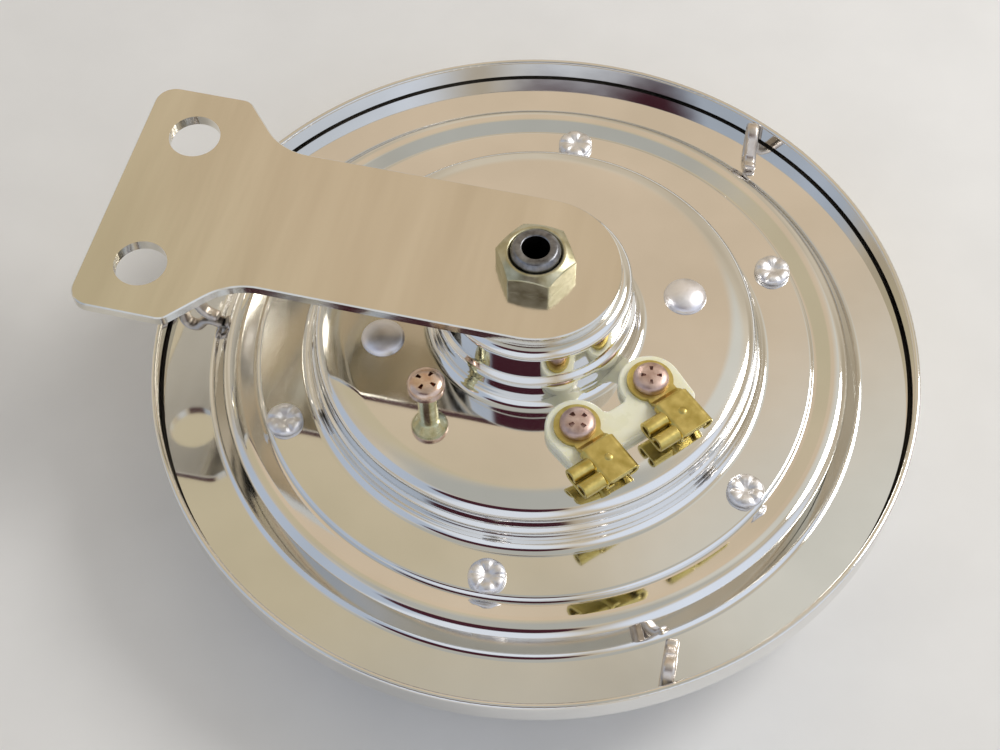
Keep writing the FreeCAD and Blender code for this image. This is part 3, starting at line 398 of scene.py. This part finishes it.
# Yellow passivated zinc: straw with a green cast, thin and uneven over the hexagon.
YELLOW_ZINC = surface("yellow passivated zinc", ("#ADA785", "#D3CEB4"), (0.28, 0.38), 2.6, 0.9, 0.25)
# Oiled black stud steel, worn grey at its end.
STUD = surface("oiled stud steel", ("#58585C", "#A0A1A6"), (0.26, 0.4), 2.2, 0.8, 0.3)
# Barrel plated nickel on soft rivets: whitish, a little dull from tumbling.
RIVET_NICKEL = surface("tumbled nickel plate", ("#E2DFE4", "#F6F4F8"), (0.34, 0.44), 3, 0.9, 0.3)
# The split ends of the tubular rivets: the plating is crumpled where the tube rolled over.
ROLLED_NICKEL = surface("rolled rivet nickel", ("#DCDADD", "#F2F1F3"), (0.36, 0.48), 1.6, 1.6, 0.8)
# Clips pressed from nickel plated spring strip: warm grey, satin.
CLIP_NICKEL = surface("nickel plated clip strip", ("#CDC2BA", "#E6DFD8"), (0.28, 0.4), 2, 1.0, 0.4)
# Clear pink passivation on the terminal screws, dulled by handling.
PINK_ZINC = surface("pink passivated zinc", ("#BC9F96", "#DCC4BA"), (0.36, 0.5), 1.6, 0.8, 0.4)
# Rolled cartridge brass, not lacquered: olive where it has tarnished, gold where it was rubbed.
BRASS = surface("tarnished rolled brass", ("#BBA95C", "#DFCB80"), (0.28, 0.42), 2.6, 1.0, 0.4)
# Soft magnet iron of core and armature: grey, slightly dull.
CORE = surface("soft core steel", ("#8E8C88", "#A3A09B"), (0.3, 0.4), 5, 0.5, 0.3)
# Hardened spring sheet of diaphragm and tone disc: grey with a rolled sheen.
SPRING = surface("spring steel", ("#9C9A96", "#B5B2AC"), (0.2, 0.3), 8, 0.5, 0.2)
# Fine silver contact faces: white and bright.
SILVER = surface("silver contact", ("#D8D5CE", "#E6E3DC"), (0.15, 0.25), 1, 0.3, 0.1)
# Enamelled copper wire: amber brown varnish over copper.
WIRE = surface("enamelled copper wire", ("#8C3F1E", "#A5532B"), (0.22, 0.3), 3, 0.5, 0.1)
# Pressed fibre board of the contact stack: brown and matt.
BOARD = surface("pressed board", ("#6B4A2E", "#7E5B3B"), (0.6, 0.75), 4, 0.4, 0.4, metallic=0.0)
# Graphited gasket board: nearly black and matt.
GASKET = surface("gasket board", ("#3A3835", "#4A4743"), (0.7, 0.85), 4, 0.4, 0.4, metallic=0.0)
# Varnished sleeve on the inner leads: dark brown, half matt.
SLEEVE = surface("varnished wire sleeve", ("#4A3A22", "#5B492C"), (0.45, 0.6), 3, 0.4, 0.3,
                 metallic=0.0)
# Natural nylon 6 moulding: cream, greenish in its depth.
NYLON = surface("natural nylon", ("#F2F0D2", "#FAF8E4"), (0.24, 0.36), 5, 0.8, 0.15, metallic=0.0)
let_light_in(NYLON, 1.5)
# The adjusting screw is dipped by its head: pink head on a pale yellow green shank.
ADJUSTER = two_tone("two tone passivated screw", ("#BDB98C", "#E6E3C0"), ("#CFAF99", "#EAD3C3"), 43.55)
# Painted shade: dark brown put on the faces of the screw's cross recess, where shade falls.
RECESS_PAINTED_SHADE = surface("painted shade in the screw recess", ("#7A4A32", "#9C6A4C"), (0.4, 0.55), 1.2, 0.4, 0.3)
# Painted shade: a dull, nearly black line put on the groove floor beside the rim, where shade falls.
GROOVE_PAINTED_SHADE = surface("painted shade in the groove", ("#221E1A", "#544D44"), (0.5, 0.7), 20, 0.6, 0.3,
                   metallic=0.0)
# Painted shade: black put on the inside wall of the stud's drilled eye, where shade falls.
EYE_PAINTED_SHADE = surface("painted shade in the drilled eye", ("#151312", "#242120"), (0.5, 0.65), 1.5, 0.4, 0.4)

# Every drawing node gets its finish; the pieces made below then take the place of some of them.
BY_SLOT = {
    "chrome_plate": CHROME, "yellow_zinc": YELLOW_ZINC, "stud_steel": STUD, "brass": BRASS,
    "nickel_plate": RIVET_NICKEL, "copper_zinc": PINK_ZINC, "nylon": NYLON, "spring_steel": SPRING,
    "core_steel": CORE, "copper_wire": WIRE, "gasket_board": GASKET, "pressed_board": BOARD,
    "silver_point": SILVER, "wire_sleeve": SLEEVE,
}
BY_NODE = {"mounting_bracket": STRIP, "adjusting_screw": ADJUSTER, "retaining_clips": CLIP_NICKEL}
slot_of = {part["node"]: part["material_slot"] for part in frame["record"]["subparts"]}
for name, node in nodes.items():
    node.data.materials.clear()
    node.data.materials.append(BY_NODE.get(name) or BY_SLOT[slot_of[name]])


def front_bezel():
    """Crest, bowl, plate ledge and rim wall from one strip, its two lips rounded."""
    opening, wall = 61.5, 79.35
    piece = spin_rings("bezel_pressing", [
        (opening, 0.65, 0), (70.0, 0.65, 5.0), (74.0, 8.0, 9.0), (75.0, 19.05, 1.0),
        (wall, 19.05, 1.6), (wall, RIM_TOP, 0)])
    give_wall(piece, BEZEL_SHEET)
    round_lips(piece, 0.55, 4, lambda r, z: abs(z - RIM_TOP) < 2 * NEAR or r < opening + 2 * NEAR)
    polish(piece)
    finish_piece(piece, CHROME, "chrome_plate", "horn", "front_bezel")
    # The groove floor beside the rim is painted nearly black as shade.
    second_finish(piece, GROOVE_PAINTED_SHADE, lambda r, z: 77.3 < r < 78.8 and 19.3 < z < 21.0)


def rear_plate():
    """Annulus, the soft step up to its bead, and the seat under the drum's flange.

    It ends short of the rim's wall, so that the groove beside the wall shows.
    """
    piece = spin_rings("rear_plate_pressing", [
        (47.5, 24.2, 0), (58.6, 24.2, 3.5), (61.9, 25.1, 3.0), (64.2, 25.1, 2.4),
        (67.5, 20.3, 2.4), (78.15, 20.3, 0)])
    give_wall(piece, SHEET)
    polish(piece)
    finish_piece(piece, CHROME, "chrome_plate", "horn", "rear_plate")


def drum_housing():
    """Boss, drum top, stepped wall and flange drawn from one sheet, the flange's edge rolled."""
    flange_r = 58.2
    piece = spin_rings("drum_pressing", [
        (5.25, 51.0, 0), (18.6, 51.0, 1.5), (18.7, 43.9, 1.2), (19.9, 42.5, 1.8), (20.0, 35.8, 3.0),
        (40.6, 35.8, 14.0), (44.8, 34.9, 2.2), (44.9, 31.2, 0.9), (45.9, 30.2, 1.2),
        (46.0, 25.4, 2.8), (flange_r, 25.4, 0)])
    give_wall(piece, SHEET)
    round_lips(piece, 1.1, 6, lambda r, z: r > flange_r - 0.05 and z > 25.9)
    polish(piece)
    finish_piece(piece, CHROME, "chrome_plate", "horn", "drum_housing")


def dome_rivets():
    """Two smooth domed heads on the drum top, across from each other."""
    at = on_circle(31.2, 22.3)
    rings = [(4.4, 36.4, 0), (4.32, 36.76, 0), (4.1, 37.1, 0), (3.7, 37.43, 0), (3.15, 37.72, 0),
             (2.4, 37.98, 0), (1.55, 38.17, 0), (0.6, 38.29, 0)]
    piece = spin_rings("dome_rivet", rings, at, 64)
    close_end(piece, at, *rings[-1][:2])
    close_end(piece, at, *rings[0][:2])
    face_out()
    polish(piece, 70)
    finish_piece(piece, RIVET_NICKEL, "nickel_plate", "horn", "dome_rivets")
    turn_mesh(twin(piece, 2), 180)


def flange_rivets():
    """Tubular rivets: the tube's end is rolled out over the flange and has split in six."""
    at = on_circle(54.2, 33.0)
    rings = [(3.5, 25.95, 0), (3.75, 26.4, 0), (3.8, 26.95, 0), (3.5, 27.4, 0), (2.9, 27.65, 0),
             (2.2, 27.7, 0), (1.5, 27.5, 0), (0.95, 27.2, 0), (0.5, 27.0, 0)]
    piece = spin_rings("rolled_rivet", rings, at, 36)
    close_end(piece, at, *rings[-1][:2])
    close_end(piece, at, *rings[0][:2])
    read = axis_reading(at)
    for split, narrower, sunk in ((12, 0.86, 0.35), (74, 0.9, 0.2), (128, 0.84, 0.4),
                                  (197, 0.9, 0.25), (251, 0.87, 0.4), (312, 0.92, 0.2)):
        def in_split(co):
            r, z = read(co)
            return r > 1.2 and z > 27.1 and abs(bearing(co, at) % 360 - split) < 8
        pick(piece, "VERT", in_split)
        widen(narrower, at, 27)
        lift(-sunk)
    face_out()
    modify(piece, "SUBSURF", levels=1, render_levels=1)
    polish(piece, 70)
    finish_piece(piece, ROLLED_NICKEL, "nickel_plate", "horn", "flange_rivets")
    for k in range(1, 6):
        turn_mesh(twin(piece, k + 1), 60 * k)


def retaining_clips():
    """Three narrow tongues, thick and round edged, hooked behind the rim and bent on to the annulus.

    They were bent over askew, so each leans by its own angle about its foot.
    """
    foot, half_width = 77.4, 1.35
    piece = pull_strip("rim_clip", [
        (foot, 20.0, 0), (foot, 26.7, 1.7), (foot - 3.0, 26.9, 2.6), (foot - 6.2, 21.9, 2.8),
        (foot - 7.9, 21.75, 1.2), (foot - 9.3, 22.0, 0)], -half_width, half_width)
    give_wall(piece, CLIP_STOCK)
    soften(piece, 0.75, 4, 50)
    polish(piece, 60)
    finish_piece(piece, CLIP_NICKEL, "nickel_plate", "horn", "retaining_clips")
    clips = (piece, twin(piece, 2), twin(piece, 3))
    for clip, turn, lean in zip(clips, (63, 183, 301.4), (34, -12, -29)):
        turn_mesh(clip, lean, (foot, 0))
        turn_mesh(clip, turn)


def stud_nut():
    """Thin hexagon nut: round top land, coned corners, facets down to the bracket."""
    land, half_across, top, cone = 5.95, 7.0, 59.1, 0.62
    piece = spin_rings("hexagon_nut", [(land, top, 0)], count=48)
    read = axis_reading()
    pull(-0.02)
    for step in range(5):
        from_corner = 7.5 * step
        reach = half_across / math.cos(math.radians(30 - from_corner))

        def on_step(co):
            around = bearing(co) % 60
            return read(co)[1] < top - NEAR and abs(min(around, 60 - around) - from_corner) < 1
        pick(piece, "VERT", on_step)
        widen(reach / land, AXIS, top)
        lift((land - reach) * cone)
    pick(piece, "EDGE", lambda co: read(co)[0] > land + 0.1)
    pull(0)
    bpy.ops.transform.resize(value=(1, 1, 0), center_override=place(*AXIS, BRACKET_TOP))
    for outer, inner, drop in ((land, 5.45, 0), (5.45, 5.1, 0.5)):
        pick(piece, "EDGE", lambda co: read(co)[0] < outer + NEAR)
        pull(-drop)
        widen(inner / outer, AXIS, top)
    face_out()
    soften(piece, 0.22, 3, 24)
    polish(piece, 24)
    finish_piece(piece, YELLOW_ZINC, "yellow_zinc", "horn", "stud_nut")


# Domed side of a screw head from its widest ring to its middle: shares of its radius and height.
HEAD_DOME = ((0.97, 0.6), (0.9, 0.74), (0.8, 0.85), (0.68, 0.92), (0.58, 0.955), (0.46, 0.98),
             (0.3, 0.995), (0.16, 1.0))


def pan_screw(name, at, shank, low, head_r, height, cross):
    """Pan head screw: shank by its rings, domed head, four recess lobes pressed in at turn cross."""
    rings = shank + [(head_r, low, 0.3), (head_r, low + 0.45 * height, 0)]
    rings += [(head_r * r, low + height * z, 0) for r, z in HEAD_DOME]
    piece = spin_rings(name, rings, at, 48)
    close_end(piece, at, *rings[-1][:2])
    close_end(piece, at, *rings[0][:2])
    face_out()
    read = axis_reading(at)

    def in_lobe(co):
        r, z = read(co)
        from_lobe = abs((bearing(co, at) - cross + 45) % 90 - 45)
        return z > low + 0.85 * height and 0.28 < r / head_r < 0.57 and from_lobe < 14
    pick(piece, "FACE", in_lobe)
    for narrower in (0.96, 0.85):
        pull(-0.16 * height)
        widen(narrower, at, low)
    polish(piece, 45)
    return piece


def adjusting_screw():
    """Long screw that stands off the drum top, its recess painted dark brown as shade."""
    at = on_circle(30.0, -122.0)
    low, head_r, height = 43.6, 3.75, 2.65
    shank = [(2.0, 33.0, 0), (2.0, 41.2, 1.6), (3.3, 43.3, 0.25)]
    piece = pan_screw("adjuster", at, shank, low, head_r, height, 71)
    finish_piece(piece, ADJUSTER, "copper_zinc", "adjuster", "adjusting_screw")
    # The recess faces are painted dark brown as shade.
    second_finish(piece, RECESS_PAINTED_SHADE,
                  lambda r, z: r < 0.6 * head_r and low < z < low + 0.86 * height, at)


def terminal_screws():
    """Two short screws on the insulator, each with its recess at another turn."""
    along, across = (Vector(on_circle(1, turn)) for turn in (TERMINAL_TURN, TERMINAL_TURN + 90))
    low, head_r, height = 39.2, 3.55, 2.15
    shank = [(1.95, 37.0, 0), (1.95, 39.0, 0.25)]
    for letter, side, cross in (("a", -1, 50), ("b", 1, 12)):
        at = tuple(along * TERMINAL_OUT + across * TERMINAL_HALF_PITCH * side)
        piece = pan_screw("terminal_screw_" + letter, at, shank, low, head_r, height, cross)
        finish_piece(piece, PINK_ZINC, "copper_zinc", "horn", "terminal_screws")


def mounting_stud():
    """Stud end: long rounded cone up to a drilled eye."""
    rings = [(5.0, 41.0, 0), (5.0, 59.3, 1.2), (4.3, 60.45, 0.7), (2.7, 60.5, 0.35), (2.6, 51.5, 0)]
    piece = spin_rings("stud", rings, count=96)
    close_end(piece, AXIS, *rings[0][:2])
    close_end(piece, AXIS, *rings[-1][:2])
    face_out()
    polish(piece, 50)
    finish_piece(piece, STUD, "stud_steel", "horn", "mounting_stud")
    # The inside of the drilled eye is painted black as shade.
    second_finish(piece, EYE_PAINTED_SHADE, lambda r, z: r < 2.75 and z > 45)


def push_connector(side, node):
    """Flag receptacle of thick brass: channel with rolled sides, stop dimple, curled wire barrel."""
    v = TERMINAL_HALF_PITCH * side
    sleeve = pull_strip("connector_" + node[-1], [
        (v - 1.9, 39.0, 0), (v - 3.6, 39.0, 0.95), (v - 3.6, 41.05, 0.9), (v + 3.6, 41.05, 0.9),
        (v + 3.6, 39.0, 0.95), (v + 1.9, 39.0, 0)], -41.5, -32.9)
    give_wall(sleeve, SLEEVE_STOCK)
    turn_in_hand(sleeve, 90)
    barrel = pull_strip("barrel", [
        (37.3, 40.4, 0), (37.3, 41.9, 1.1), (34.8, 41.9, 1.15), (34.8, 39.5, 1.1), (41.0, 39.5, 1.1),
        (41.0, 41.9, 1.15), (38.5, 41.9, 1.1), (38.5, 40.4, 0)], v - 8.5, v - 3.7)
    give_wall(barrel, BARREL_STOCK)
    at = (36.9, v)
    dimple = spin_rings("dimple", [(1.0, 41.2, 0), (0.8, 41.45, 0), (0.4, 41.62, 0)], at, 24)
    close_end(dimple, at, 0.4, 41.62)
    face_out()
    empty_hands()
    for part in (barrel, dimple, sleeve):
        part.select_set(True)
    bpy.context.view_layer.objects.active = sleeve
    bpy.ops.object.join()
    soften(sleeve, 0.16, 3, 50)
    polish(sleeve, 50)
    turn_in_hand(sleeve, TERMINAL_TURN)
    finish_piece(sleeve, BRASS, "brass", "horn", node)


front_bezel()
rear_plate()
drum_housing()
dome_rivets()
flange_rivets()
retaining_clips()
mounting_stud()
stud_nut()
adjusting_screw()
terminal_screws()
push_connector(-1, "push_connector_a")
push_connector(1, "push_connector_b")


def soft_room():
    """World of a soft room by direction: what the flat chrome mirrors is warm grey.

    Each patch is a direction, the cosines at which it starts and is full, and its colour.
    """
    world = bpy.data.worlds.new("soft room")
    bpy.context.scene.world = world
    world.use_nodes = True
    tree = world.node_tree
    tree.nodes.clear()
    where = add_node(tree, "ShaderNodeTexCoord")
    cloud = add_node(tree, "ShaderNodeTexNoise", [(0, where, "Generated")], Scale=2.2, Detail=1.5)
    colour, socket = colour_drift(tree, cloud, ("#B7AA94", "#D8CDBA"), (0.35, 0.65)), 0
    patches = (
        ((-0.34, 0.49, 0.80), 0.93, 0.99, "#C6BA9E"),     # warm grey over the horn's left
        ((0.17, 0.50, 0.85), 0.965, 0.993, "#D9D7CE"),    # paler over its right
        ((-0.12, 0.66, 0.74), 0.95, 0.99, "#D6C3AA"),     # warm behind it
        ((0.00, 0.00, 1.00), 0.90, 0.97, "#B4B4AE"),      # neutral grey overhead
        ((-0.10, -0.85, 0.45), 0.80, 0.94, "#E2E8F2"),    # pale over the front
        ((-0.70, -0.40, 0.60), 0.80, 0.92, "#B6C1D2"),    # greyish blue on the left
        ((0.80, -0.30, 0.50), 0.80, 0.93, "#E2EAF8"),     # blue white on the right
        ((-0.20, -0.50, 0.86), 0.972, 0.988, "#45222C"),  # dark, as where one leans over it
        ((-0.06, -0.50, 0.86), 0.972, 0.988, "#45222C"),
        ((0.08, -0.50, 0.86), 0.972, 0.988, "#45222C"),
    )
    for aim, start, full, tint in patches:
        facing = add_node(tree, "ShaderNodeVectorMath", [(0, where, "Generated")],
                          operation="DOT_PRODUCT")
        facing.inputs[1].default_value = Vector(aim).normalized()
        share = add_node(tree, "ShaderNodeMapRange", [(0, facing, 1)], From_Min=start,
                         From_Max=full, interpolation_type="SMOOTHSTEP")
        mixed = add_node(tree, "ShaderNodeMix", [(0, share, 0), (6, colour, socket)],
                         data_type="RGBA")
        mixed.inputs[7].default_value = linear(tint)
        colour, socket = mixed, 2
    back = add_node(tree, "ShaderNodeBackground", [(0, colour, socket)], Strength=1.0)
    add_node(tree, "ShaderNodeOutputWorld", [(0, back, 0)])


def soft_lamp(name, spot, size, power):
    """Round white lamp aimed at the middle of the horn."""
    data = bpy.data.lights.new(name, "AREA")
    data.shape = "DISK"
    data.size = size
    data.energy = power
    lamp = bpy.data.objects.new(name, data)
    bpy.context.scene.collection.objects.link(lamp)
    lamp.location = spot
    lamp.rotation_euler = (place(*AXIS, 24) - Vector(spot)).to_track_quat("-Z", "Y").to_euler()


def studio_floor():
    """Pale matt floor under the front rest plane."""
    empty_hands()
    bpy.ops.mesh.primitive_plane_add(size=6, location=place(*AXIS, 0))
    floor = bpy.context.object
    floor.name = "studio floor"
    material, tree, shader, where = bare_material("pale matt floor")
    speckle = add_node(tree, "ShaderNodeTexNoise", [(0, where, "Object")], Scale=40.0, Detail=4.0)
    tint = colour_drift(tree, speckle, ("#E9E8E6", "#EEEDEB"))
    tree.links.new(tint.outputs[0], shader.inputs["Base Color"])
    shader.inputs["Roughness"].default_value = 0.9
    floor.data.materials.append(material)


def photo_camera():
    """Camera at the photograph's viewing angle, fitted to the horn's round edges."""
    azimuth, rise, roll = math.radians(14.345), math.radians(57.961), math.radians(-1.150)
    away, left, down = 4.44265, 0.09059, 0.07838      # from the rim's centre, in rim radii
    back = Vector((math.sin(azimuth) * math.cos(rise), -math.cos(azimuth) * math.cos(rise),
                   math.sin(rise)))
    right = Vector((math.cos(azimuth), math.sin(azimuth), 0))
    up = back.cross(right)
    right, up = (right * math.cos(roll) + up * math.sin(roll),
                 up * math.cos(roll) - right * math.sin(roll))
    spot = (back * away - right * left - up * down) * (RIM_R * MM) + place(*AXIS, RIM_TOP)
    data = bpy.data.cameras.new("camera")
    data.lens = 61.2
    data.sensor_width = 36
    data.clip_start = 0.01
    data.clip_end = 20
    camera = bpy.data.objects.new("camera", data)
    bpy.context.scene.collection.objects.link(camera)
    camera.matrix_world = (Matrix.Translation(spot)
                           @ Matrix((right, up, back)).transposed().to_4x4())
    bpy.context.scene.camera = camera


empty_hands()
soft_room()
soft_lamp("key", (0.55, 0.30, 0.50), 0.35, 2.6)
studio_floor()
photo_camera()
bpy.context.scene.view_settings.view_transform = "Standard"
